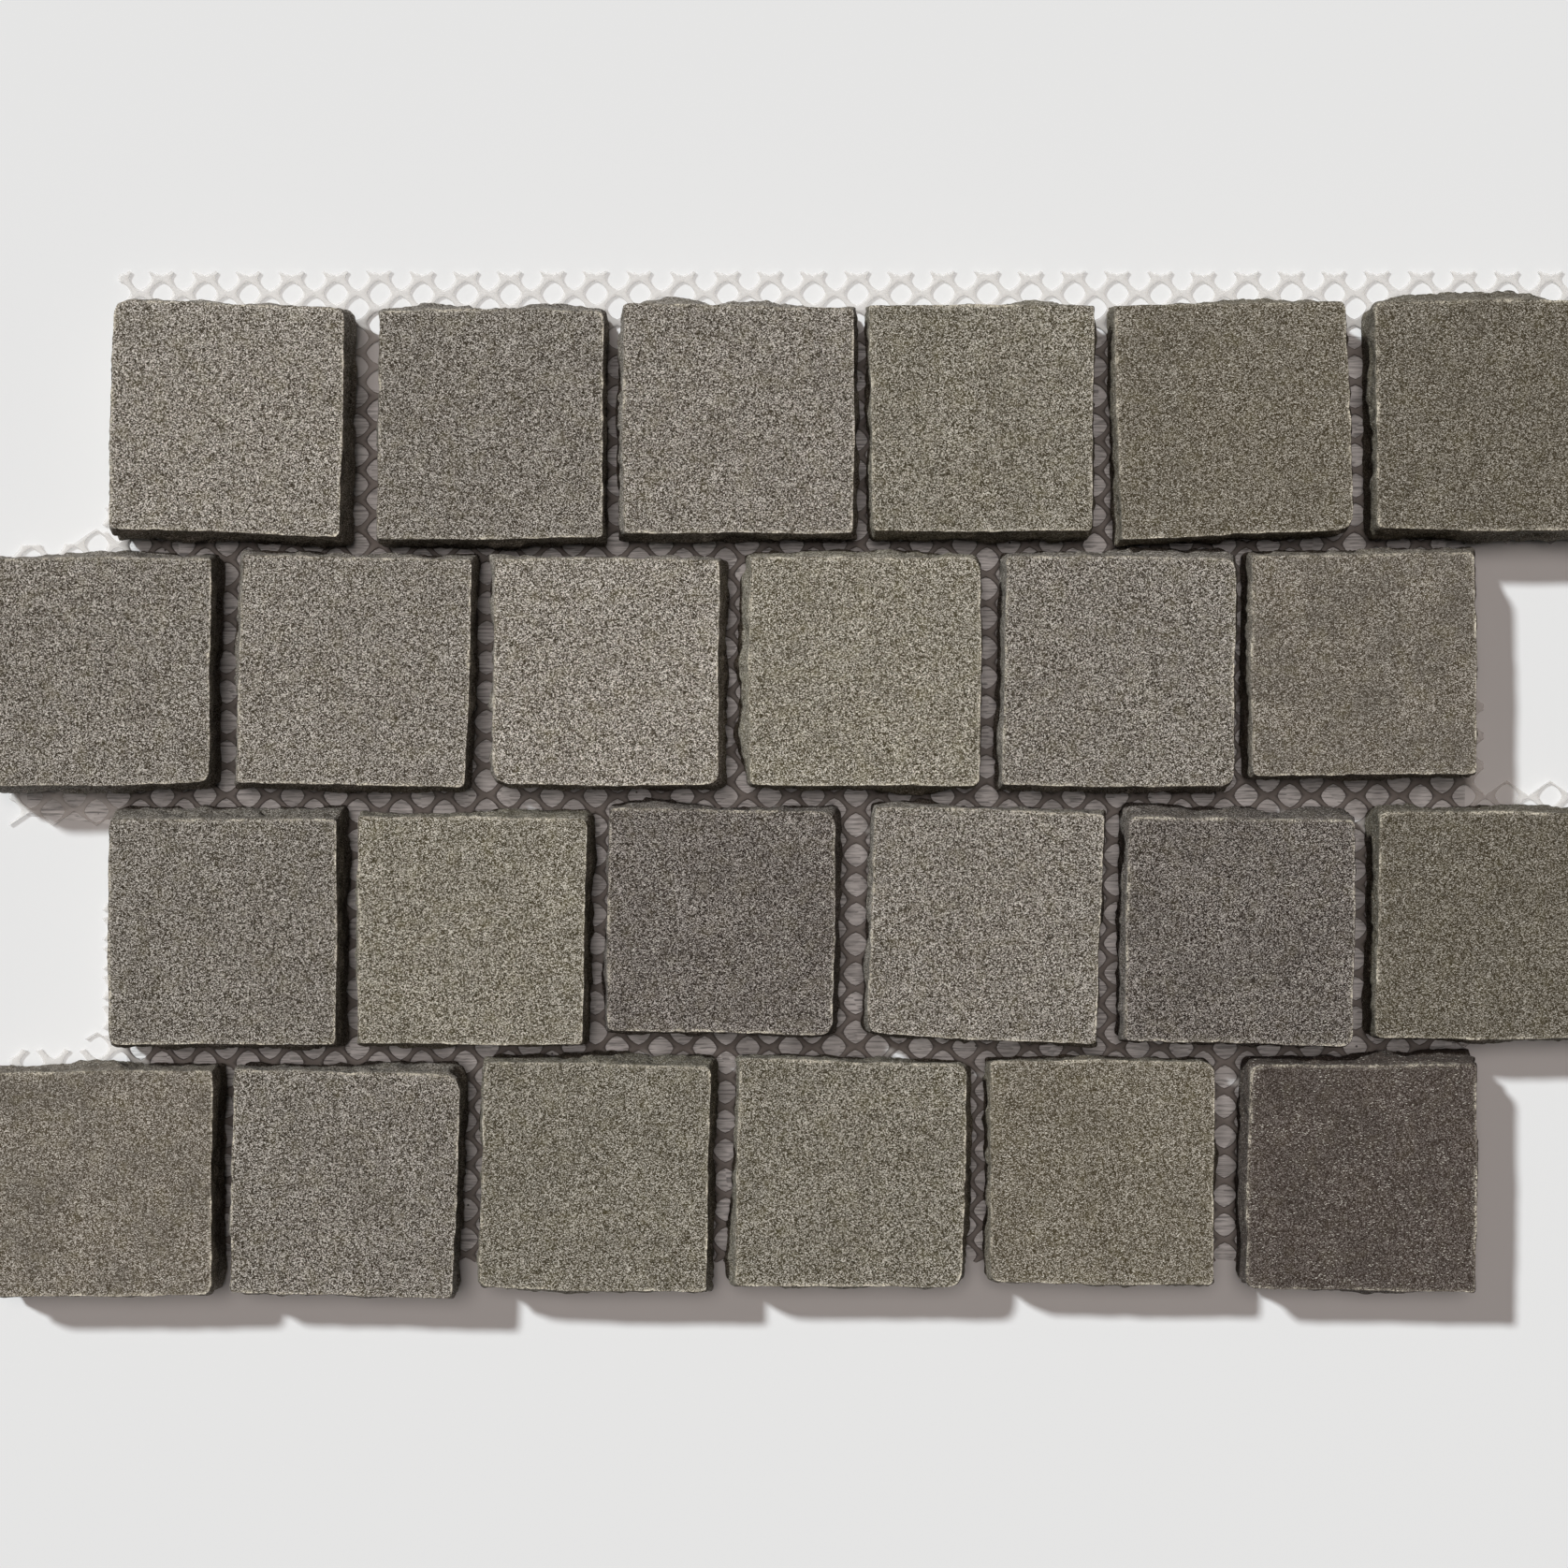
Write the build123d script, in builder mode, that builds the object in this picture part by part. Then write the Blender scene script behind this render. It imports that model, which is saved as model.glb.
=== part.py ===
from build123d import *
from math import ceil, floor, sin
import os

# A sheet of split granite cobbles on a plastic backing net. Millimetres, Z up.
# The origin is the middle of the laying module, on the underside of the sheet.
# X runs along the courses. Course 1 lies furthest along +Y, and place 1 is at the -X end.

# Driving dimensions of the bond
stone_pitch = 100.0
course_pitch = 100.0
joint_width = 8.0
course_shift = 25.0  # odd courses sit this far to +X and even courses to -X

# Driving dimensions of a cobble
stone_height = 30.0
arris_width = 1.0
arris_drop = 1.3
split_break = 0.4  # how far the middle of a split side is broken in or out

# Driving dimensions of the backing net
net_thickness = 1.2
mesh_length = 17.6  # from knot to knot along X
mesh_height = 12.0  # from knot to knot along Y
strand_width = 2.6
mesh_offset = (7.9, 1.1)  # centre of the mesh nearest the origin
net_far_margin = 17.9  # how far the net stands out past course 1
net_near_margin = 8.0  # how far it stops short under course 4
net_stub = 9.0  # how far it stands out at a recessed course end
net_tuck = 3.0  # how far it stops short at a projecting course end
net_course_lap = 3.6  # the net's course lines lie this far to +Y of the bed joints
net_dips = {(2, "left"): 12.5}  # where a course line was cut lower: course, half, and how far

# Driving dimension of the glue film brushed over the back of the net
film_thickness = 0.3
film_margin = 2.0  # how far the film runs past the outer stones

# Shares that shape a split side: heights on the stone, and how much of the swelling shows there
foot_swell = 0.6
belly_level = 0.35
shoulder_level = 0.75
shoulder_swell = 0.45
break_stations = (0.2, 0.5, 0.8)  # where a side is broken between its corners
break_wander = 0.06  # how far these places wander from side to side

# Each cobble was split by hand, so each has its own row. Corners run near-left, near-right,
# far-right, far-left, and sides run near, right, far, left.
# A row gives how far each face corner lies from the square, along X and Y, then how much of
# each corner is knocked off, then how far each split side swells out below the face.
cobbles = {
    (1, 1): (((0.5, 3), (-0.5, -0.5), (1.5, -2), (2.5, 1.5)), (2, 1.5, 3, 5), (2, 1.5, 2, 0)),
    (1, 2): (((6.5, -1.5), (3.5, -0.5), (4, -3), (7.5, -3)), (1, 1.5, 3, 1.5), (1.5, 0, 5, 1)),
    (1, 3): (((4, 1), (2.5, 1), (3, -2), (4, 0)), (1, 1, 1.5, 0.7), (1, 1.5, 4.5, 3)),
    (1, 4): (((2.5, 2), (-3, 2), (-2, -1), (1, -1)), (2, 1.5, 1, 1), (2.5, 0.5, 3, 1)),
    (1, 5): (((1, -1.5), (0.5, 2.5), (-3, 0.5), (-2, -1)), (1, 5, 2, 1), (0.5, 2.5, 3, 0.5)),
    (1, 6): (((2, 3), (-2.5, 2), (-1.5, 1), (1, 0.5)), (2, 2, 2, 3.5), (1.5, 1, 5.5, -0.5)),
    (2, 1): (((1, 1), (-2, 2.5), (-1, -1), (1, -1)), (3, 3.5, 1.5, 2), (2.5, -1, 2.5, 1)),
    (2, 2): (((1, 2.5), (-1, 0.5), (2, -1.5), (3.5, 0.5)), (1, 1.5, 1, 1), (2.5, 0, 3.5, 4)),
    (2, 3): (((2, 2), (-1, 1.5), (0, -1.5), (3, -1)), (6, 3.5, 1.5, 1), (1.5, 3, 2, 2.5)),
    (2, 4): (((4, 1.5), (2.5, 1), (3, -0.5), (4, -0.5)), (1, 2.5, 4.5, 1.5), (3, 0, 4.5, 5)),
    (2, 5): (((3.5, 1.5), (3, 1), (4, -1), (5.5, 0)), (1.5, 4.5, 4, 2), (2, 0, 4.5, 1.5)),
    (2, 6): (((2.5, 5), (-1, 6), (-2, 1.5), (2.5, 0)), (2, 1, 2, 1.5), (1.5, 3.5, 3, 0)),
    (3, 1): (((0.5, -1), (-2, -1), (-1.5, -4), (0.5, -4)), (2.5, 1, 1, 2.5), (3, 0.5, 5, 0.5)),
    (3, 2): (((-1, -0.5), (-4.5, -1), (-2.5, -4), (-1, -3)), (1, 1.5, 2.5, 0.7), (1.5, 1.5, 3, 0.5)),
    (3, 3): (((-2.5, 4.5), (-5.5, 2.5), (-4.5, -1), (-1.5, 0.5)), (1.5, 4.5, 4.5, 1.5), (1, 2.5, 3.5, 3)),
    (3, 4): (((0, 3.5), (-1.5, -1), (2, -2), (3.5, 1)), (4, 1.5, 1, 1), (2, 0.5, 2, 1)),
    (3, 5): (((2, 0.5), (0, -2), (1, -4.5), (4, -3)), (1, 4, 1, 2), (1, 0.5, 5, 1)),
    (3, 6): (((1, 1.5), (-1.5, 1.5), (-1, -2), (3, -1)), (2, 2, 2, 3), (1, 1, 2, -0.5)),
    (4, 1): (((1, -0.5), (-1, 0), (-0.5, -3.5), (1, -4.5)), (3, 3, 1, 2), (2, 0, 2.5, 1)),
    (4, 2): (((-1.5, 1), (-6, -1.5), (-2.5, -5), (0, -3)), (1, 1.5, 6, 1), (1, 0.5, 2.5, 0.5)),
    (4, 3): (((-3.5, 3), (-5.5, 1), (-3.5, -2), (-1, 0)), (3.5, 1.5, 2, 1.5), (2, 2, 3, 1.5)),
    (4, 4): (((-2, 3.5), (-4.5, 3), (-2.5, -1), (0, 1.5)), (1.5, 4.5, 3.5, 1), (1.5, 2.5, -1.5, 4)),
    (4, 5): (((-1, 5), (-5, 4), (-4.5, 0), (-1, 0.5)), (3.5, 1.5, 4, 1), (1, 1, -1.5, 1)),
    (4, 6): (((0, 2.5), (-1.5, 1), (-1, -1), (2, -1)), (3, 1, 1, 3.5), (3, 0, 3.5, 0.5)),
}

# Places worked out from the sizes above
course_count = max(course for course, place in cobbles)
stones_in_course = max(place for course, place in cobbles)
net_bottom = film_thickness
stone_bottom = net_bottom + net_thickness
bond_length = stones_in_course * stone_pitch
bond_width = course_count * course_pitch
half_length = (stone_pitch - joint_width) / 2
half_width = (course_pitch - joint_width) / 2
square = [(x * half_length, y * half_width) for x, y in ((-1, -1), (1, -1), (1, 1), (-1, 1))]


def course_middle(course):
    """Middle of a course: its X shift and its Y."""
    shift = course_shift if course % 2 else -course_shift
    return shift, bond_width / 2 - (course - 0.5) * course_pitch


def outline(course, place, swell_share, inset):
    """Outline of one cobble at one level, as a closed run of points.

    Each side of the face is moved out, square to itself, by its share of the swelling, so that
    the facets between two levels are flat. Each corner is knocked off in an arc of three points,
    and the middle of each side is broken in or out where the stone was split.
    """
    corners, rounds, swells = cobbles[course, place]
    shift, middle_y = course_middle(course)
    middle = Vector(shift + (place - (stones_in_course + 1) / 2) * stone_pitch, middle_y)
    face = [middle + Vector(*square[i]) + Vector(*corners[i]) for i in range(4)]
    sides = [face[(i + 1) % 4] - face[i] for i in range(4)]
    runs = [side.normalized() for side in sides]
    outward = [run.cross(Vector(0, 0, 1)) for run in runs]
    moved = [swell_share * swell - inset for swell in swells]
    points = []
    for i in range(4):
        lean = outward[i - 1].dot(outward[i])
        push_before = outward[i - 1] * (moved[i - 1] - lean * moved[i])
        push_after = outward[i] * (moved[i] - lean * moved[i - 1])
        corner = face[i] + (push_before + push_after) / (1 - lean**2)
        cut = rounds[i]
        arc_dip = cut * (1 - 0.5**0.5)
        points += [corner - runs[i - 1] * cut, corner + (runs[i] - runs[i - 1]) * arc_dip]
        points.append(corner + runs[i] * cut)
        wander = break_wander * sin(2.0 * place + 3.1 * course + 1.3 * i)
        turn = 1 if (i + place + course) % 2 else -1
        for station, depth in zip(break_stations, (0, turn * split_break, 0)):
            points.append(face[i] + sides[i] * (station + wander) + outward[i] * (moved[i] + depth))
    return points


def cobble_levels():
    """Height, swelling and inset of each outline, from the foot up to the face."""
    top = stone_bottom + stone_height
    return (
        (stone_bottom, foot_swell, 0.0),
        (stone_bottom + belly_level * stone_height, 1.0, 0.0),
        (stone_bottom + shoulder_level * stone_height, shoulder_swell, 0.0),
        (top - arris_drop, 0.0, 0.0),
        (top, 0.0, arris_width),
    )


def course_line(course, half):
    """Y at which the net is parted below a course, on one half of the sheet."""
    return bond_width / 2 - course * course_pitch + net_course_lap - net_dips.get((course, half), 0.0)


def net_area(course, half):
    """Span of half the net under one course: low X, high X, low Y, high Y."""
    shift, middle_y = course_middle(course)
    end = bond_length / 2 - joint_width / 2
    left_out, right_out = (net_stub, -net_tuck) if course % 2 else (-net_tuck, net_stub)
    far, near = course_line(course - 1, half), course_line(course, half)
    if course == 1:
        far = middle_y + half_width + net_far_margin
    if course == course_count:
        near = middle_y - half_width + net_near_margin
    if half == "left":
        return shift - end - left_out, 0.0, near, far
    return 0.0, shift + end + right_out, near, far


def steps_across(low, high, first, step):
    """Every place on a run of equal steps from low to high, and one beyond, counted from first."""
    return [first + n * step for n in range(floor((low - first) / step), ceil((high - first) / step) + 1)]


def mesh_centres(low_x, high_x, low_y, high_y):
    """Centres of the net's holes over a rectangle: those inside it, and those its edge cuts."""
    reach_x = mesh_length / 2
    reach_y = mesh_height / 2
    inner, cut = [], []
    for half_step in (0.0, 0.5):
        first_x = mesh_offset[0] + half_step * mesh_length
        first_y = mesh_offset[1] + half_step * mesh_height
        for x in steps_across(low_x, high_x, first_x, mesh_length):
            for y in steps_across(low_y, high_y, first_y, mesh_height):
                inside_x = low_x < x - reach_x and x + reach_x < high_x
                inside_y = low_y < y - reach_y and y + reach_y < high_y
                (inner if inside_x and inside_y else cut).append((x, y))
    return inner, cut


def mesh_hole():
    """Four corners of one hole: the diamond left open between four strands."""
    slope = mesh_height / mesh_length
    half_height = mesh_height / 2 - strand_width / 2 * (1 + slope**2) ** 0.5
    half_length = half_height / slope
    return [(half_length, 0), (0, half_height), (-half_length, 0), (0, -half_height)]


os.makedirs("parts", exist_ok=True)

# The cobbles, each a stack of outlines from its foot to its worn face
for course, place in cobbles:
    with BuildPart() as cobble:
        for height, swell_share, inset in cobble_levels():
            with BuildSketch(Plane.XY.offset(height)):
                Polygon(*outline(course, place, swell_share, inset), align=None)
        loft(ruled=True)
    cobble.part.label = f"cobble_{course}_{place}"
    export_step(cobble.part, f"parts/cobble_{course}_{place}.step")

# The backing net, two lengths to a course
for course in range(1, course_count + 1):
    for half in ("left", "right"):
        start_x, end_x, low_y, high_y = net_area(course, half)
        inner, cut = mesh_centres(start_x, end_x, low_y, high_y)
        holes = [Wire.make_polygon([(x + dx, y + dy) for dx, dy in mesh_hole()]) for x, y in inner]
        with BuildPart() as net:
            with BuildSketch(Plane.XY.offset(net_bottom)) as sheet:
                with Locations(((start_x + end_x) / 2, (low_y + high_y) / 2)):
                    Rectangle(end_x - start_x, high_y - low_y)
                with Locations(*cut):
                    Polygon(*mesh_hole(), align=None, mode=Mode.SUBTRACT)
                rim = sheet.faces().sort_by(SortBy.AREA)[-1].outer_wire()
                add(Face(rim, holes), mode=Mode.REPLACE)
            extrude(amount=net_thickness)
        net.part.label = f"net_course_{course}_{half}"
        export_step(net.part, f"parts/net_course_{course}_{half}.step")

# The glue film, one skin under the net within the outline of the stones
with BuildPart() as glue_film:
    with BuildSketch():
        for course in range(1, course_count + 1):
            shift, middle_y = course_middle(course)
            reach = (bond_length - joint_width) / 2 + film_margin
            for half, start_x, end_x in (("left", shift - reach, 0.0), ("right", 0.0, shift + reach)):
                low_y, high_y = net_area(course, half)[2:]
                if course == 1:
                    high_y = middle_y + half_width + film_margin
                with Locations(((start_x + end_x) / 2, (low_y + high_y) / 2)):
                    Rectangle(end_x - start_x, high_y - low_y)
    extrude(amount=film_thickness)
glue_film.part.label = "glue_film"
export_step(glue_film.part, "parts/glue_film.step")
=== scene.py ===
import itertools
import math

import bpy
import numpy as np
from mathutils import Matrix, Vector


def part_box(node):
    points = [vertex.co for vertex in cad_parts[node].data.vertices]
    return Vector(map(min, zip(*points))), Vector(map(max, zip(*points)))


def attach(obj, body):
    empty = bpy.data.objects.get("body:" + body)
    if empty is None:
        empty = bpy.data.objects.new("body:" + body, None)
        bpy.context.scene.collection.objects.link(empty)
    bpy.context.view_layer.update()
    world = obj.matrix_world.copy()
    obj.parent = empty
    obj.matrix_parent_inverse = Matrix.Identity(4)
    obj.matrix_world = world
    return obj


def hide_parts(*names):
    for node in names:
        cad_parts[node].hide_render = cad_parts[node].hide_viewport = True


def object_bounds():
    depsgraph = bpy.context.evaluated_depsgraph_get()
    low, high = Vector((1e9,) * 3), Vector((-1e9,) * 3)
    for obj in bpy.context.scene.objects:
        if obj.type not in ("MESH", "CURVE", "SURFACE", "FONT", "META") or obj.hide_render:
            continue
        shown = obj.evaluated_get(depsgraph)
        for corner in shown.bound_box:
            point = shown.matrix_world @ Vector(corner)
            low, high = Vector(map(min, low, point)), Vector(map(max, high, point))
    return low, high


# A sheet of split granite cobbles on a plastic net, seen from straight above in low studio light.
# Metres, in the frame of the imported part.

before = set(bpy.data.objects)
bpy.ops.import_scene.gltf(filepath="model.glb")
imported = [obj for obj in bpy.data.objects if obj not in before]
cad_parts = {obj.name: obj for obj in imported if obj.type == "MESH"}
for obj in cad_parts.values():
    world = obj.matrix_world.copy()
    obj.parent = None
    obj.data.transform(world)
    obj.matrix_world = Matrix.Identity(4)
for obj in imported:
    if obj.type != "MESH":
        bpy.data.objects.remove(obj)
cad_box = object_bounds()

MM = 0.001


# Shader expressions

class Term:
    """A shader value in an expression: the operators add Math nodes."""

    def __init__(self, finish, socket):
        self.finish = finish
        self.socket = socket

    def math(self, operation, first, second):
        return self.finish.node("Math", {"operation": operation}, {0: first, 1: second})

    def __add__(self, other):
        return self.math("ADD", self, other)

    def __sub__(self, other):
        return self.math("SUBTRACT", self, other)

    def __rsub__(self, other):
        return self.math("SUBTRACT", other, self)

    def __mul__(self, other):
        return self.math("MULTIPLY", self, other)

    __radd__ = __add__
    __rmul__ = __mul__


class Finish:
    """A node material around one Principled shader."""

    def __init__(self, name):
        self.material = bpy.data.materials.new(name)
        self.material.use_nodes = True
        self.tree = self.material.node_tree
        self.shader = self.tree.nodes["Principled BSDF"]

    def node(self, kind, settings=None, sockets=None, out=0):
        """Adds one node: its settings first, then the values or links of its sockets."""
        made = self.tree.nodes.new("ShaderNode" + kind)
        for name, value in (settings or {}).items():
            if name == "stops":
                self.lay_stops(made.color_ramp, value)
            else:
                setattr(made, name, value)
        for name, value in (sockets or {}).items():
            self.feed(made.inputs[name], value)
        return Term(self, made.outputs[out])

    def lay_stops(self, ramp, stops):
        """Sets a ramp's stops, each a place and a colour or a grey."""
        while len(ramp.elements) < len(stops):
            ramp.elements.new(1.0)
        for element, (place, shade) in zip(ramp.elements, stops):
            element.position = place
            element.color = (*shade, 1.0) if isinstance(shade, tuple) else (shade, shade, shade, 1.0)

    def feed(self, target, value):
        """Links a shader value to a socket, or sets a plain one on it."""
        if isinstance(value, Term):
            self.tree.links.new(value.socket, target)
        elif isinstance(value, tuple) and len(value) == 3 and target.type == "RGBA":
            target.default_value = (*value, 1.0)
        else:
            target.default_value = value

    def set(self, **sockets):
        """Feeds the shader's own sockets, with _ for a space in a name."""
        for name, value in sockets.items():
            self.feed(self.shader.inputs[name.replace("_", " ")], value)

    def place(self, stretch=(1, 1, 1), turn=0.0):
        """Object coordinates, turned about Z and stretched."""
        here = self.node("TexCoord", out=3)
        return self.node("Mapping", None, {"Vector": here, "Rotation": (0, 0, turn), "Scale": stretch})

    def noise(self, scale, detail, rough, at=None):
        sockets = {"Vector": at or self.place(), "Scale": scale, "Detail": detail, "Roughness": rough}
        return self.node("TexNoise", None, sockets)

    def cells(self, scale, at=None, out=1):
        """Cells round scattered points: out 0 is the distance, and 1 a colour for each cell."""
        return self.node("TexVoronoi", None, {"Vector": at or self.place(), "Scale": scale}, out)

    def one_of_three(self, colour, part=0):
        """One channel of a colour, as a value."""
        return self.node("SeparateColor", None, {0: colour}, part)

    def attribute(self, name):
        return self.node("Attribute", {"attribute_name": name}, None, 2)

    def ramp(self, value, stops):
        return self.node("ValToRGB", {"stops": stops}, {0: value})

    def band(self, value, low, high):
        """0 below low, 1 above high, and smooth between."""
        settings = {"interpolation_type": "SMOOTHSTEP"}
        return self.node("MapRange", settings, {0: value, 1: low, 2: high, 3: 0.0, 4: 1.0})

    def mix(self, share, first, second, blend="MIX"):
        settings = {"data_type": "RGBA", "blend_type": blend}
        return self.node("Mix", settings, {0: share, 6: first, 7: second}, 2)

    def bump(self, height, distance, strength, under=None):
        sockets = {"Height": height, "Distance": distance, "Strength": strength}
        if under:
            sockets["Normal"] = under
        return self.node("Bump", None, sockets)


# Shapes as whole arrays

# Waves in the pieces: size, height, layers and seed
WAVES = {
    "swelling": (30 * MM, 0.3, 1, 5),
    "crown": (5 * MM, 0.2 * MM, 2, 11),
    "crown_teeth": (1.7 * MM, 0.16 * MM, 1, 13),
    "chips": (3.0 * MM, 1.0, 1, 17),
    "chipped_runs": (22 * MM, 1.0, 1, 19),
    "arris_width": (4 * MM, 0.2 * MM, 1, 23),
    "arris_drop": (5 * MM, 0.3 * MM, 1, 29),
    "lumps": (13 * MM, 1.0 * MM, 2, 31),
    "ledges": (11 * MM, 2.2 * MM, 2, 37),
    "crumbs": (3.4 * MM, 0.5 * MM, 2, 41),
    "dips": (10 * MM, 0.5, 3, 43),
    "net_along_x": (21 * MM, 0.35 * MM, 1, 51),
    "net_along_y": (24 * MM, 0.35 * MM, 1, 52),
    "film_edge": (14 * MM, 0.5, 2, 61),
    "film_ripple": (6 * MM, 0.5, 1, 67),
}


def lattice_noise(points, cell, seed):
    """Smooth noise from -1 to 1.

    Each corner of a cubic lattice has a value hashed from its place, and a point takes the
    eight values around it, weighted by quintic steps along each axis.
    """
    scaled = points / cell
    corner = np.floor(scaled).astype(np.int64)
    step = scaled - corner
    step = step**3 * (step * (step * 6 - 15) + 10)
    total = np.zeros(points.shape[:-1])
    for shift in itertools.product((0, 1), repeat=3):
        x, y, z = np.moveaxis(corner + np.array(shift), -1, 0)
        mixed = (x * 73856093) ^ (y * 19349663) ^ (z * 83492791) ^ (seed * 2654435761)
        mixed = ((mixed ^ (mixed >> 13)) * 1274126177) & 0xFFFFFFFF
        mixed = ((mixed ^ (mixed >> 16)) * 2246822519) & 0xFFFFFFFF
        total += np.prod(np.where(shift, step, 1 - step), axis=-1) * (mixed / 0x7FFFFFFF - 1)
    return total


def wave(points, kind):
    """One kind of wave at the points.

    Lattice noise is added to itself at half the size and half the height, layer by layer, and the
    sum is scaled to the wave's height.
    """
    size, height, layers, seed = WAVES[kind]
    return height * sum(lattice_noise(points, size / 2**n, seed + n) / 2**n for n in range(layers))


def put_mesh(name, points, quads, attributes=None, crease=70.0):
    """A mesh object at the origin from arrays of points and quads, smooth up to the crease angle."""
    quads = np.asarray(quads)
    mesh = bpy.data.meshes.new(name)
    mesh.vertices.add(len(points))
    mesh.vertices.foreach_set("co", np.ascontiguousarray(points, np.float32).ravel())
    mesh.loops.add(quads.size)
    mesh.loops.foreach_set("vertex_index", quads.astype(np.int32).ravel())
    mesh.polygons.add(len(quads))
    mesh.polygons.foreach_set("loop_start", np.arange(0, quads.size, quads.shape[1], dtype=np.int32))
    for key, values in (attributes or {}).items():
        layer = mesh.attributes.new(key, "FLOAT", "POINT")
        layer.data.foreach_set("value", np.ascontiguousarray(values, np.float32).ravel())
    mesh.update(calc_edges=True)
    mesh.validate()
    mesh.shade_smooth()
    mesh.set_sharp_from_angle(angle=math.radians(crease))
    piece = bpy.data.objects.new(name, mesh)
    bpy.context.scene.collection.objects.link(piece)
    return piece


# The cobbles

AROUND = 448  # stations round a stone, the same number on each side
SIDE_ROWS = 15
ARRIS_ROWS = 4
FACE_RINGS = np.array([0.993, 0.98, 0.955, 0.91, 0.85, 0.77, 0.68, 0.57, 0.45, 0.31, 0.16])
FOOT_RINGS = np.array([0.95, 0.5])
SIDES = ("near", "right", "far", "left")
STONE_CREASE = 75

LEVEL_SKIN = 0.02 * MM  # rays keep this far inside the foot and the face
OUTLINE_BLUR = 1  # in stations
BULGE_BLUR = 4
CROWN_OUT = 0.75 * MM  # how far the top of a side is set out, to make up for the worn arris
RELIEF_OUT = 0.75 * MM  # sets the broken side out again by what its ledges take away
RELIEF_HOLD = ((0.0, 0.1, 0.82, 1.0), (0.4, 1.0, 1.0, 0.1))  # places up the side, and share of the relief
LEDGE_PITCH = (1, 1, 1.5)  # ledges lie closer together up the side than along it

ARRIS_WIDTH = 0.32 * MM
ARRIS_DROP = 0.5 * MM
CHIP_WIDTH = 1.6 * MM
CHIP_DROP = 2.0 * MM
CHIP_START = 0.3  # chips are where their wave is higher than this
RUN_START = -0.5  # and where the slower wave of the chipped runs is higher than this
DIP_DEPTH = 0.3 * MM
DIP_LIMIT = 1.2

WEAR_BELOW = 0.5  # crushed edge on the last row of the side
WEAR_ON_FACE = (0.8, 0.15)  # and on the first rings of the face
SPLIT_FADE = 2  # rows over which the broken side gives way to the arris

# Where a split side stands out furthest, from -1 at its left or near end to 1 at the other
bulges = {
    (1, 2): {"far": (-0.56, 0.56)},
    (1, 3): {"far": (-0.54, 0.26)},
    (1, 4): {"far": (0.4,)},
    (1, 5): {"far": (-0.06, 0.46), "right": (0.73,)},
    (1, 6): {"far": (-0.55, -0.2, 0.2)},
    (2, 4): {"left": (-0.5, 0.1, 0.6), "near": (0.37,)},
    (2, 6): {"right": (0.85,)},
    (3, 2): {"far": (0.3, 0.8)},
    (3, 3): {"far": (-0.54,), "left": (-0.5,)},
    (3, 4): {"far": (-0.61,)},
    (3, 5): {"far": (-0.7, 0.0, 0.7)},
    (4, 1): {"far": (-0.1,)},
    (4, 2): {"far": (0.4, 0.85), "right": (0.7,)},
    (4, 3): {"far": (0.08, 0.85)},
    (4, 4): {"left": (-0.7,)},
    (4, 6): {"far": (0.26, 0.73), "near": (0.14,), "left": (-0.3, 0.5)},
}
BULGE_REACH = 0.3  # half width of a bulge, in halves of a side
BETWEEN_BULGES = 0.3  # share of the swelling away from the named bulges
BULGE_RISE = 0.8  # and how much more of it shows at a bulge
PLAIN_SHARE = 0.9  # mean share on a side without named bulges
FULL_SHARE = 1.1


def station_bearings():
    """Bearings of the stations: from the middle of a square to equal steps along its four sides."""
    along = (np.arange(AROUND // 4) + 0.5) / (AROUND // 8) - 1
    ones = np.ones_like(along)
    runs = [(along, -ones), (ones, along), (-along, ones), (-ones, -along)]
    x, y = np.concatenate(runs, axis=1)
    signed = np.concatenate([along, along, -along, -along])
    return np.stack([x, y], axis=1) / np.hypot(x, y)[:, None], signed


BEARINGS, ALONG = station_bearings()


def node_triangles(name):
    """Corner points of a CAD node's triangles."""
    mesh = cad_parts[name].data
    mesh.calc_loop_triangles()
    points = np.empty(len(mesh.vertices) * 3, np.float32)
    mesh.vertices.foreach_get("co", points)
    corners = np.empty(len(mesh.loop_triangles) * 3, np.int32)
    mesh.loop_triangles.foreach_get("vertices", corners)
    return points.reshape(-1, 3).astype(float)[corners.reshape(-1, 3)]


def side_distance(triangles, axis, height):
    """Distance from a stone's axis to its CAD side at one height, for every station.

    A level ray from the axis meets a triangle where its two edge shares and its length solve
    one linear system. The furthest meeting on each ray counts.
    """
    start = np.array([*axis, height])
    first = triangles[:, 1] - triangles[:, 0]
    second = triangles[:, 2] - triangles[:, 0]
    rays = np.column_stack([BEARINGS, np.zeros(AROUND)])[:, None, :]
    across = np.cross(rays, second[None])
    scale = np.einsum("stk,tk->st", across, first)
    edge_on = np.abs(scale) < 1e-14
    scale = np.where(edge_on, np.inf, scale)
    offset = start - triangles[:, 0]
    share_one = np.einsum("stk,tk->st", across, offset) / scale
    turned = np.cross(offset, first)
    share_two = (rays * turned[None]).sum(-1) / scale
    length = np.einsum("tk,tk->t", turned, second)[None] / scale
    slack = 1e-6
    hit = (share_one > -slack) & (share_two > -slack) & (share_one + share_two < 1 + slack)
    return np.where(hit, length, 0.0).max(axis=1)


def soften_round(values, spread):
    """Values round a closed outline, blurred by a bell of the given spread in stations."""
    reach = np.arange(-3 * spread, 3 * spread + 1)
    bell = np.exp(-0.5 * (reach / spread) ** 2)
    bell /= bell.sum()
    return sum(share * np.roll(values, -int(n), axis=-1) for share, n in zip(bell, reach))


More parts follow.
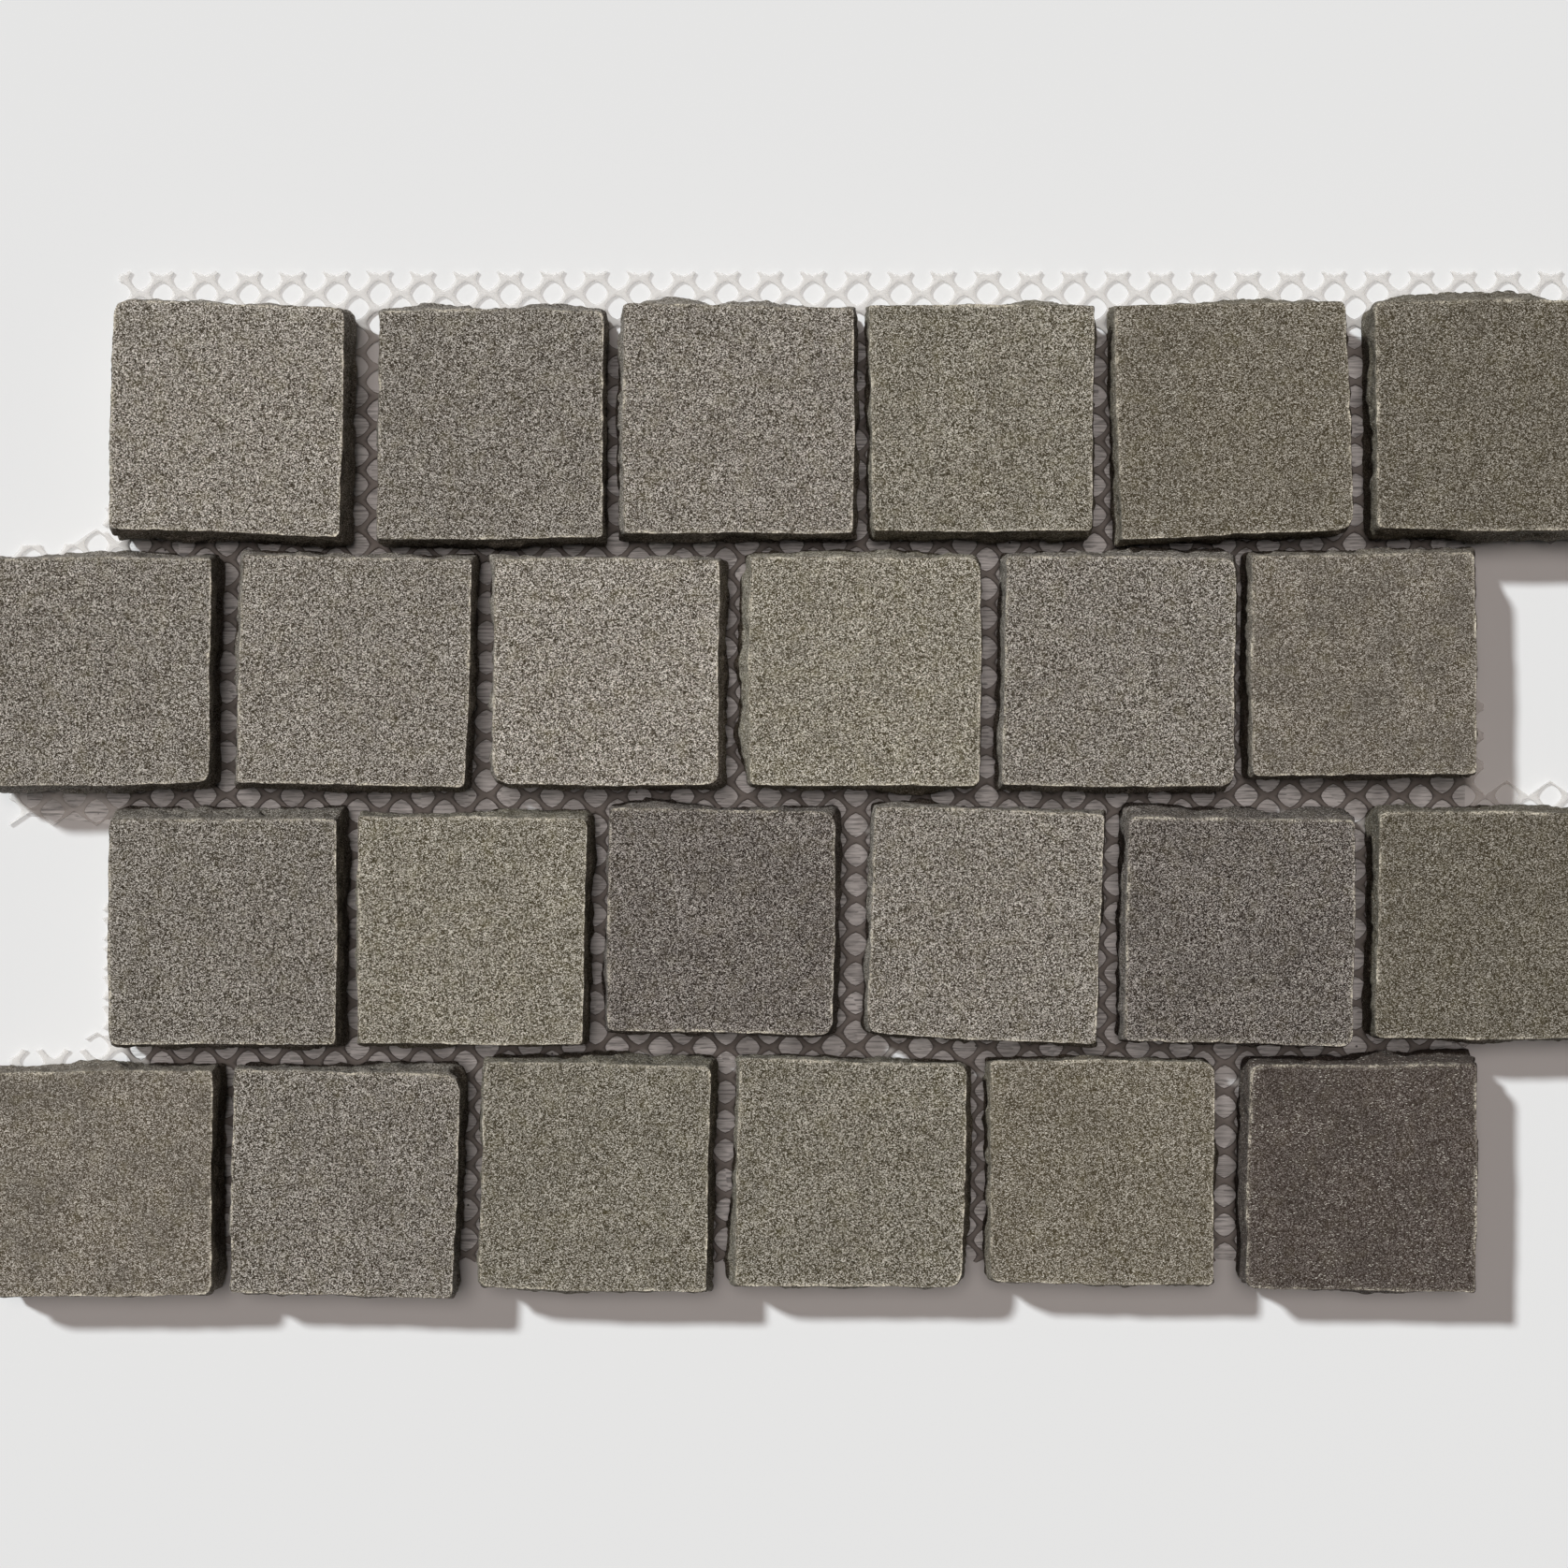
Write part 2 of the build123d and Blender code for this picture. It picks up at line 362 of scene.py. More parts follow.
def bulge_share(course, place, spot):
    """How much of a side's swelling shows at each station.

    A side with named bulges has a bell over each of them, and any other side follows a slow wave.
    """
    share = PLAIN_SHARE + wave(spot, "swelling")
    for n, side in enumerate(SIDES):
        on_side = slice(n * AROUND // 4, (n + 1) * AROUND // 4)
        peaks = bulges.get((course, place), {}).get(side)
        if peaks:
            bells = [np.exp(-(((ALONG[on_side] - peak) / BULGE_REACH) ** 2)) for peak in peaks]
            share[on_side] = BETWEEN_BULGES + BULGE_RISE * np.max(bells, axis=0)
    return np.clip(soften_round(share, BULGE_BLUR), 0.0, FULL_SHARE)


def cobble(name, course, place, tone):
    """One split cobble as a closed surface of rings.

    The rings run from the middle of the foot, up the split side, over the worn arris and in to the
    middle of the face. A ring's distance from the axis is the CAD outline at its height, its
    swelling shared out by the bulges, plus layered noise for the broken stone. The arris is a
    quarter ellipse whose width and drop wander, with chips where the noise peaks.
    """
    triangles = node_triangles(name)
    low, high = (np.array(corner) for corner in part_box(name))
    axis = (low[:2] + high[:2]) / 2
    levels = np.unique(np.round(triangles[..., 2], 5))
    inside = np.clip(levels, low[2] + LEVEL_SKIN, high[2] - LEVEL_SKIN)
    outlines = np.array([side_distance(triangles, axis, height) for height in inside])
    outlines = soften_round(outlines, OUTLINE_BLUR)
    crown = outlines[-2]

    spot = np.column_stack([axis + BEARINGS * crown[:, None], np.full(AROUND, high[2])])
    share = bulge_share(course, place, spot)
    crown_wave = wave(spot, "crown") + wave(spot, "crown_teeth")
    chips = np.clip(wave(spot, "chips") - CHIP_START, 0, 1)
    chips *= np.clip(wave(spot, "chipped_runs") - RUN_START, 0, 1)
    width = ARRIS_WIDTH + wave(spot, "arris_width") + CHIP_WIDTH * chips
    drop = ARRIS_DROP + wave(spot, "arris_drop") + CHIP_DROP * chips

    # split side, from foot to arris
    rise = np.linspace(0, 1, SIDE_ROWS)[:, None]
    height = low[2] + rise * (high[2] - drop - low[2])[None, :]
    steps = (levels[:-1] - levels[0]) / (levels[-2] - levels[0])
    weights = np.stack([np.interp(rise[:, 0], steps, row) for row in np.eye(len(steps))])
    swelling = (weights.T @ outlines[:-1]) - crown
    side = crown + swelling * share
    points = np.dstack([axis[0] + BEARINGS[:, 0] * side, axis[1] + BEARINGS[:, 1] * side, height])
    ledges = np.abs(wave(points * LEDGE_PITCH, "ledges"))
    relief = wave(points, "lumps") - ledges + RELIEF_OUT + wave(points, "crumbs")
    side = side + crown_wave + CROWN_OUT * rise + np.interp(rise, *RELIEF_HOLD) * relief

    # worn arris
    turn = np.linspace(0, math.pi / 2, ARRIS_ROWS + 1)[1:, None]
    arris = side[-1] - width * (1 - np.cos(turn))
    arris_height = high[2] - drop * (1 - np.sin(turn))

    # face and foot
    face = arris[-1] * FACE_RINGS[:, None]
    foot = side[0] * FOOT_RINGS[::-1, None]
    reach = np.vstack([foot, side, arris, face])
    level = np.vstack([np.full_like(foot, low[2]), height, arris_height, np.full_like(face, high[2])])
    points = np.dstack([axis[0] + BEARINGS[:, 0] * reach, axis[1] + BEARINGS[:, 1] * reach, level])
    side_end = len(foot) + len(side)
    top = side_end + len(arris) - 1
    dips = 0.5 + wave(points[top:], "dips")
    points[top:, :, 2] -= DIP_DEPTH * np.clip(dips, 0, DIP_LIMIT)
    points = np.clip(points, *np.array(cad_box))
    rows = len(points)

    # bright crushed edge and broken side, as values on the points
    crushed = np.array([WEAR_BELOW] + [1.0] * ARRIS_ROWS + [*WEAR_ON_FACE])
    wear = np.zeros((rows, AROUND))
    wear[side_end - 1 : side_end - 1 + len(crushed)] = crushed[:, None]
    split = np.clip((side_end - np.arange(rows)) / SPLIT_FADE, 0, 1)[:, None] * np.ones(AROUND)

    # quads between the rings, and fans at the middles of the foot and the face
    middles = np.array([[*axis, low[2]], [*axis, high[2] - DIP_DEPTH / 2]])
    all_points = np.vstack([points.reshape(-1, 3), middles])
    ring = np.arange(rows * AROUND).reshape(rows, AROUND)
    ahead = np.roll(ring, -1, axis=1)
    quads = np.stack([ring[:-1], ahead[:-1], ahead[1:], ring[1:]], axis=-1).reshape(-1, 4)
    even = np.arange(0, AROUND, 2)
    odd, next_even = even + 1, np.roll(even, -1)
    foot_middle, face_middle = np.full_like(even, rows * AROUND), np.full_like(even, rows * AROUND + 1)
    foot_fan = np.column_stack([foot_middle, ring[0][next_even], ring[0][odd], ring[0][even]])
    face_fan = np.column_stack([face_middle, ring[-1][even], ring[-1][odd], ring[-1][next_even]])
    quads = np.vstack([quads, foot_fan, face_fan])
    attributes = {
        "wear": np.append(wear.ravel(), [0.0, 0.0]),
        "split": np.append(split.ravel(), [1.0, 0.0]),
        "tone": np.full(len(all_points), tone),
    }
    return put_mesh(f"stone_{course}_{place}", all_points, quads, attributes, STONE_CREASE)


# The backing net

MESH_LENGTH = 17.6 * MM  # from knot to knot along X
MESH_HEIGHT = 12.0 * MM  # from knot to knot along Y
MESH_CENTRE = np.array([7.9, 1.1]) * MM  # the hole nearest the origin
HOLE_REACH = np.array([4.85, 4.8]) * MM
HOLE_ROUND = 1.5  # 2 is an ellipse, and 1 a diamond
STRAND_SLOPE = 0.45 * MM  # how far a strand's top falls from its middle to the hole's rim
STEPS_A_SIDE = 4
STEP_PULL = 0.84  # a step is judged at its middle, drawn in to this share of the way from the hole
NET_WELD = 0.002 * MM
NET_CREASE = 50
STUB = 15 * MM  # how far the net is cut back at a recessed end, apart from the stubs below

# Where stubs of the net stand out at the recessed end of a course: low and high Y
stubs = {
    1: ((0.100, 0.117), (0.199, 0.214)),
    2: ((0.002, 0.046),),
    3: ((-0.098, -0.042), (-0.008, 0.006)),
    4: (),
}

# Where the net is cut shorter beside a notch: which end along X and from where on,
# and which way along Y and from where on
notch_cuts = {
    1: ((-1, 0.2745), (1, 0.199)),
    2: ((-1, 0.291), (1, 0.1025)),
    3: ((1, 0.277), (-1, 0.0975)),
    4: ((-1, 0.287), (1, -0.1025)),
}

GLUE_LAP = 10 * MM  # how far the glue under one course runs on under the next
FILM_BAY = (-171 * MM, 80 * MM)  # middle and half width of the bay in the glue's far edge
FILM_EDGE = (10 * MM, 22 * MM)  # how far the far edge lies in, and how much further in the bay
GLUE_FLAP = (-9 * MM, 6 * MM, -312 * MM)  # low Y, high Y and end of the glue that hangs out below course 2
SOAK_FADE = 4 * MM  # over how much of the net the glue gives out at its edge
JOINT_SHADE = 0.45  # least painted shade on the net in the joints between the stones
JOINT_START = 4 * MM  # how far in from the far side of course 1 that begins


def course_box(course):
    """Low and high corners of the box round a course's stones."""
    boxes = np.array([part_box(f"cobble_{course}_{place}") for place in range(1, 7)])
    return boxes[:, 0].min(axis=0), boxes[:, 1].max(axis=0)


def glue_span(y, with_flap):
    """Ends of the glue along X at each Y.

    Under a course it runs from end to end of the stones, and in a bed joint only as far as the
    courses on both sides do, apart from one thin flap.
    """
    start, end = np.full(y.shape, -1.0), np.full(y.shape, 1.0)
    for course in range(1, 5):
        low, high = course_box(course)
        under = (y > low[1] - GLUE_LAP) & (y < high[1] + GLUE_LAP)
        start = np.where(under, np.maximum(start, low[0]), start)
        end = np.where(under, np.minimum(end, high[0]), end)
    in_flap = with_flap & (y > GLUE_FLAP[0]) & (y < GLUE_FLAP[1])
    return np.where(in_flap, GLUE_FLAP[2], start), end


def glue_far_edge(x):
    """Y of the glue's far edge at each X: straight, with one wide bay."""
    inset = FILM_EDGE[0] + FILM_EDGE[1] * np.exp(-(((x - FILM_BAY[0]) / FILM_BAY[1]) ** 2))
    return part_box("glue_film")[1][1] - inset


def soaked_and_shade_share(points):
    """How much glue, dust and painted shade darken the net: fully over the glue, fading at its edge,
    and as painted shade alone, partly in the joints beyond."""
    start, end = glue_span(points[:, 1], False)
    sideways = np.maximum(start - points[:, 0], points[:, 0] - end)
    beyond = np.maximum(sideways, points[:, 1] - glue_far_edge(points[:, 0]))
    in_joint = (sideways < 0) & (points[:, 1] < course_box(1)[1][1] - JOINT_START)
    return np.maximum(np.clip(0.5 - beyond / SOAK_FADE, 0, 1), JOINT_SHADE * in_joint)


def net_strip(course):
    """The net under one course, as cells round its holes.

    Each hole sits in a diamond with a knot at each corner. At equal steps along the diamond's
    border, the section of half a strand runs from the strand's middle down a sloped top to the
    hole's rim, a superellipse, and down the wall to the underside. A strip has the cells whose
    middles lie in it. Steps that lie off the sheet are left out, and each open end has a cap.
    """
    boxes = np.array([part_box(f"net_course_{course}_{half}") for half in ("left", "right")])
    low, high = boxes[:, 0].min(axis=0), boxes[:, 1].max(axis=0)

    half_step = np.array([MESH_LENGTH, MESH_HEIGHT]) / 2
    first = np.floor((low[:2] - MESH_CENTRE) / half_step).astype(int) - 1
    last = np.ceil((high[:2] - MESH_CENTRE) / half_step).astype(int) + 1
    counts = [np.arange(start, stop + 1) for start, stop in zip(first, last)]
    across, along = np.meshgrid(*counts, indexing="ij")
    real = (across + along) % 2 == 0
    centres = np.stack([across, along], axis=-1) * half_step + MESH_CENTRE

    count = 4 * STEPS_A_SIDE
    corners = np.array([[1, 0], [0, 1], [-1, 0], [0, -1], [1, 0]]) * half_step
    step = np.arange(count) / STEPS_A_SIDE
    border = np.column_stack([np.interp(step, range(5), corners[:, n]) for n in (0, 1)])
    bearing = border / np.hypot(*border.T)[:, None]
    rim = bearing / (np.abs(bearing / HOLE_REACH) ** HOLE_ROUND).sum(axis=1)[:, None] ** (1 / HOLE_ROUND)
    section = np.stack([border, rim, rim, border])
    levels = np.array([high[2], high[2] - STRAND_SLOPE, low[2], low[2]])

    # which steps of which cells belong to this strip
    step_middle = (border + np.roll(border, -1, axis=0)) / 2
    middles = centres[:, :, None, :] + (step_middle * STEP_PULL)[None, None]
    edge_low, edge_high = low[:2].copy(), high[:2].copy()
    in_strip = np.zeros_like(real)
    for half, (box_low, box_high) in zip((centres[..., 0] <= 0, centres[..., 0] > 0), boxes):
        in_strip |= half & (centres[..., 1] > box_low[1]) & (centres[..., 1] <= box_high[1])
    if course == 1:
        in_strip |= centres[..., 1] > low[1] + MESH_HEIGHT
    else:
        edge_high[1] = 1.0
    if course == 4:
        in_strip |= centres[..., 1] < high[1] - MESH_HEIGHT
    else:
        edge_low[1] = -1.0
    kept = (real & in_strip)[:, :, None] & (middles > edge_low).all(-1) & (middles < edge_high).all(-1)
    inward = middles[..., 0] - low[0] if course % 2 else high[0] - middles[..., 0]
    on_stub = np.zeros_like(kept)
    for start, end in stubs[course]:
        on_stub |= (middles[..., 1] > start) & (middles[..., 1] < end)
    kept &= on_stub | (inward > STUB)
    (end, reach), (way, line) = notch_cuts[course]
    kept &= (middles[..., 0] * end < reach) | (middles[..., 1] * way < line)

    # half strands along the kept steps
    flat = centres[:, :, None, None, :] + section[None, None]
    deep = np.broadcast_to(levels[None, None, :, None, None], flat.shape[:-1] + (1,))
    points = np.concatenate([flat, deep], axis=-1)
    points[..., 0] += wave(points * (1, 1, 0), "net_along_x")
    points[..., 1] += wave(points * (1, 1, 0), "net_along_y")
    points[..., :2] = np.clip(points[..., :2], edge_low, edge_high)
    ring = np.arange(points[..., 0].size).reshape(points.shape[:-1])
    ahead = np.roll(ring, -1, axis=3)
    faces = []
    for n in range(3):
        band = [ring[:, :, n], ahead[:, :, n], ahead[:, :, n + 1], ring[:, :, n + 1]]
        faces.append(np.stack(band, axis=-1)[kept])

    # caps on the ends of the strands, and walls along strands whose other half is left out
    cap_ahead = kept & ~np.roll(kept, -1, axis=2)
    cap_behind = kept & ~np.roll(kept, 1, axis=2)
    faces.append(np.stack([ahead[:, :, n] for n in (0, 3, 2, 1)], axis=-1)[cap_ahead])
    faces.append(np.stack([ring[:, :, n] for n in range(4)], axis=-1)[cap_behind])
    for side, (step_x, step_y) in enumerate(((1, 1), (-1, 1), (-1, -1), (1, -1))):
        here = slice(side * STEPS_A_SIDE, (side + 1) * STEPS_A_SIDE)
        facing = (side + 2) % 4
        there = slice(facing * STEPS_A_SIDE, (facing + 1) * STEPS_A_SIDE)
        neighbour = np.roll(kept[:, :, there][:, :, ::-1], (-step_x, -step_y), axis=(0, 1))
        alone = kept[:, :, here] & ~neighbour
        wall = [ring[:, :, 0, here], ring[:, :, 3, here], ahead[:, :, 3, here], ahead[:, :, 0, here]]
        faces.append(np.stack(wall, axis=-1)[alone])

    # points in use, with those that fall together joined
    used, quads = np.unique(np.vstack(faces), return_inverse=True)
    at_rim = np.broadcast_to(np.array([0.0, 1.0, 1.0, 0.0])[:, None], ring.shape).ravel()[used]
    points = points.reshape(-1, 3)[used]
    # glue and dust stain with painted shade, for each point
    soaked = soaked_and_shade_share(points)
    welds = np.round(points / NET_WELD).astype(np.int64)
    first_of, where = np.unique(welds, axis=0, return_index=True, return_inverse=True)[1:]
    attributes = {"rim": at_rim[first_of], "soaked": soaked[first_of]}
    quads = where.ravel()[quads.reshape(-1, 4)]
    return put_mesh(f"net_strip_{course}", points[first_of], quads, attributes, NET_CREASE)


# The glue film

FILM_ROWS = 84
FILM_STEPS = 110
FILM_WANDER = 1.6 * MM
FILM_ENDS = 12  # the wander gives out over one part in this many at each end
FILM_RIPPLE = 0.12 * MM
FILM_DRAW = 60 * MM  # how much of the film near its far edge is drawn in to the edge
FILM_CREASE = 50


def end_pull(share):
    """Which way an edge of the film draws in: 1 at the start, -1 at the end and 0 between."""
    return np.clip(1 - FILM_ENDS * share, 0, 1) - np.clip(FILM_ENDS * share - (FILM_ENDS - 1), 0, 1)


def film_sheet():
    """The brushed glue film as one closed skin.

    A grid of rows runs along X between the ends of the courses, so its two ends step in and out
    with the bond. The ends and the long edges wander by noise, the upper skin ripples, and the
    lower skin is flat.
    """
    low, high = (np.array(corner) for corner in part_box("glue_film"))
    y = np.linspace(low[1], high[1], FILM_ROWS)
    starts, ends = glue_span(y, True)
    share = np.linspace(0, 1, FILM_STEPS)[None, :]
    x = starts[:, None] + share * (ends - starts)[:, None]
    grid = np.dstack([x, np.broadcast_to(y[:, None], x.shape), np.zeros_like(x)])
    draw_in = FILM_WANDER * (0.5 + wave(grid, "film_edge"))
    grid[..., 0] += draw_in * end_pull(share)
    grid[..., 1] += draw_in * end_pull(np.linspace(0, 1, FILM_ROWS)[:, None])
    near_edge = np.clip((grid[..., 1] - high[1]) / FILM_DRAW + 1, 0, 1)
    grid[..., 1] -= (high[1] - glue_far_edge(grid[..., 0])) * near_edge**2 * (3 - 2 * near_edge)
    upper, lower = grid.copy(), grid.copy()
    upper[..., 2] = high[2] - FILM_RIPPLE * (0.5 + wave(grid, "film_ripple"))
    lower[..., 2] = low[2]
    points = np.concatenate([upper.reshape(-1, 3), lower.reshape(-1, 3)])
    index = np.arange(FILM_ROWS * FILM_STEPS).reshape(FILM_ROWS, FILM_STEPS)
    skin = np.stack([index[:-1, :-1], index[:-1, 1:], index[1:, 1:], index[1:, :-1]], axis=-1).reshape(-1, 4)
    rim = np.concatenate([index[0, :-1], index[:-1, -1], index[-1, :0:-1], index[:0:-1, 0]])
    ahead = np.roll(rim, -1)
    below = FILM_ROWS * FILM_STEPS
    wall = np.column_stack([rim, rim + below, ahead + below, ahead])
    quads = np.vstack([skin, skin[:, ::-1] + below, wall])
    return put_mesh("film_sheet", points, quads, None, FILM_CREASE)


# Finishes

# Tints of granite: mean colour, how far the grains depart from it, and how much the stone is mottled
TINTS = {
    "silver": ((0.211, 0.186, 0.155), 1.0, 0.10),
    "ash": ((0.172, 0.151, 0.126), 1.0, 0.12),
    "olive": ((0.179, 0.159, 0.123), 0.95, 0.16),
    "moss": ((0.134, 0.116, 0.088), 0.85, 0.14),
    "umber": ((0.166, 0.143, 0.115), 0.85, 0.34),
    "plum": ((0.126, 0.107, 0.092), 1.05, 0.20),
    "dark_plum": ((0.084, 0.067, 0.057), 0.75, 0.24),
}

# Grains from dark to white: place on the grain scale, and brightness as a multiple of the mean
GRAINS = ((0.06, 0.07), (0.30, 0.24), (0.52, 0.62), (0.72, 1.5), (0.87, 3.1), (1.0, 4.7))

# Streaks of the split sides, in the same way
STREAKS = ((0.3, 0.3), (0.52, 0.95), (0.75, 1.9))

# Tint and tone of each stone, course by course from the left
stone_finish = {
    1: [("silver", 0.89), ("ash", 0.88), ("ash", 0.98), ("olive", 0.91), ("moss", 0.98), ("moss", 0.87)],
    2: [("ash", 0.92), ("ash", 0.98), ("silver", 0.94), ("olive", 1.04), ("ash", 0.91), ("umber", 0.89)],
    3: [("ash", 0.83), ("olive", 0.98), ("plum", 0.92), ("ash", 0.94), ("plum", 0.88), ("moss", 0.83)],
    4: [("umber", 0.97), ("ash", 0.87), ("olive", 0.84), ("olive", 0.84), ("moss", 1.05),
        ("dark_plum", 0.89)],
}

WHITE = (0.95, 0.90, 0.79)
CRUSHED = (0.86, 0.78, 0.63)

# The rim colours are painted shade along the rims of the net's holes
NET_CLEAN = (0.86, 0.83, 0.80)
NET_CLEAN_RIM_SHADE = (0.78, 0.74, 0.70)
# The dusty colours are glue and dust stain deepened by painted shade
NET_DUSTY_AND_SHADED = (0.26, 0.238, 0.220)
NET_DUSTY_RIM_SHADE = (0.09, 0.082, 0.075)
NET_SMEAR = (0.30, 0.262, 0.24)

# Glue from thin to thick: place on the streak scale, and grey
GLUE_GREYS = [(0.36, 0.36), (0.48, 0.80), (0.6, 0.98)]
GLUE_STRETCH = (0.35, 6.0, 1)  # draws the streaks out along the brush
GLUE_THIN = (0.34, 0.33, 0.325)
GLUE_SPECK = (0.03, 0.028, 0.026)


def shaded(colour, share):
    """A colour made darker or brighter as a whole."""
    return tuple(share * part for part in colour)


def grain_shade(mean, share):
    """A grain's colour: its grey follows the share, and its warmth only the share's root."""
    grey = mean[1]
    warmth = 1.2 * math.sqrt(share)
    return tuple(share * grey + warmth * (part - grey) for part in mean)


def granite(tint):
    """Flamed granite: dark, middle, pale and white grains under a millimetre across, short pale
    needles, slow mottling, rough streaks on the split sides, and a pale crushed line on the arris."""
    mean, spread, mottle = TINTS[tint]
    finish = Finish("granite_" + tint)
    grain = finish.one_of_three(finish.cells(2900.0))
    dust = finish.noise(4400.0, 1.0, 0.7)
    value = grain * 1.2 + dust * 1.4 - 0.8
    grains = [(place, grain_shade(mean, 1 + (share - 1) * spread)) for place, share in GRAINS]
    speckle = finish.ramp(value, grains)
    clouds = finish.band(finish.noise(55.0, 3.0, 0.6), 0.3, 0.7)
    speckle = finish.mix(clouds * mottle * 1.3, speckle, shaded(mean, 0.5))
    warm = finish.band(finish.noise(130.0, 2.0, 0.5), 0.45, 0.75)
    speckle = finish.mix(warm * 0.2, speckle, (mean[0] * 1.12, mean[1] * 1.1, mean[2] * 0.72))
    for turn in (0.5, 1.9):
        slot = finish.place((1.0, 4.5, 1.0), turn)
        thin = 1 - finish.band(finish.cells(480.0, slot, 0), 0.14, 0.24)
        chosen = finish.band(finish.one_of_three(finish.cells(480.0, slot), 2), 0.62, 0.68)
        speckle = finish.mix(thin * chosen * 0.85, speckle, WHITE)

    split = finish.attribute("split")
    streaks = finish.noise(260.0, 4.0, 0.65, finish.place((1, 1, 2.4)))
    broken = finish.ramp(streaks, [(place, shaded(mean, share)) for place, share in STREAKS])
    broken = finish.mix(0.65, broken, speckle)
    colour = finish.mix(split, speckle, broken)
    colour = finish.mix(1.0, colour, finish.attribute("tone"), "MULTIPLY")

    wear = finish.attribute("wear")
    crumbs = finish.band(finish.noise(1300.0, 2.0, 0.75), 0.42, 0.58)
    worn = finish.band(finish.noise(95.0, 2.0, 0.6), 0.42, 0.64)
    colour = finish.mix(wear * crumbs * (0.12 + 0.68 * worn), colour, CRUSHED)

    pits = finish.noise(2600.0, 2.0, 0.7)
    chunks = finish.noise(330.0, 4.0, 0.65)
    rough_top = finish.bump(pits, 0.22 * MM, 0.8)
    rough_side = finish.bump(chunks * split, 0.9 * MM, 0.9, rough_top)
    finish.set(
        Base_Color=colour,
        Roughness=0.82 + 0.14 * pits,
        Specular_IOR_Level=0.25,
        Normal=rough_side,
    )
    return finish.material


def net_plastic():
    """Cream plastic that lets light through, with painted shade along its rims, and taupe where glue
    and stone dust soak it, darkened further by painted shade."""
    finish = Finish("net_cream_plastic")
    rim = finish.attribute("rim")
    soaked = finish.attribute("soaked")
    smears = finish.noise(180.0, 3.0, 0.6)
    # the rims are darkened as painted shade
    clean = finish.mix(finish.band(rim, 0.5, 1.0), NET_CLEAN, NET_CLEAN_RIM_SHADE)
    dusty_and_shaded = finish.mix(finish.band(rim, 0.5, 1.0), NET_DUSTY_AND_SHADED, NET_DUSTY_RIM_SHADE)
    # glued strands and joints darkened by stain and painted shade
    colour = finish.mix(soaked, clean, dusty_and_shaded)
    colour = finish.mix(smears * soaked * 0.3, colour, NET_SMEAR)
    finish.set(
        Base_Color=colour,
        Roughness=0.38 + 0.3 * smears,
        Alpha=0.32 + 0.63 * soaked,
        Normal=finish.bump(smears, 0.2 * MM, 0.4),
    )
    return finish.material


def brushed_glue():
    """Milky glue drawn out in fine streaks that change direction from place to place, with specks."""
    finish = Finish("brushed_glue")
    here = finish.noise(38.0, 1.0, 0.5)
    streak = finish.noise(150.0, 4.0, 0.7, finish.place(GLUE_STRETCH, 0.25))
    for turn, start in ((-0.7, 0.42), (1.3, 0.50), (2.2, 0.58)):
        other = finish.noise(150.0, 4.0, 0.7, finish.place(GLUE_STRETCH, turn))
        share = finish.band(here, start, start + 0.02)
        streak = other * share + streak * (1 - share)
    colour = finish.ramp(streak, GLUE_GREYS)
    thick = finish.band(finish.noise(62.0, 1.0, 0.6), 0.40, 0.58)
    colour = finish.mix((1 - thick) * 0.4, colour, GLUE_THIN)
    speck = 1 - finish.band(finish.cells(95.0, None, 0), 0.035, 0.06)
    colour = finish.mix(speck * 0.9, colour, GLUE_SPECK)
    finish.set(
        Base_Color=colour,
        Roughness=0.30 + 0.3 * streak,
        Alpha=finish.band(streak, 0.15, 0.6) * 0.35 + 0.6,
        Normal=finish.bump(streak, 0.25 * MM, 0.6),
    )
    return finish.material


# Putting the sheet together

granites = {tint: granite(tint) for tint in TINTS}
for course, finishes in stone_finish.items():
    for place, (tint, tone) in enumerate(finishes, start=1):
        node = f"cobble_{course}_{place}"
        stone = cobble(node, course, place, tone)
        stone.data.materials.append(granites[tint])
        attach(stone, "root")
        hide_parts(node)

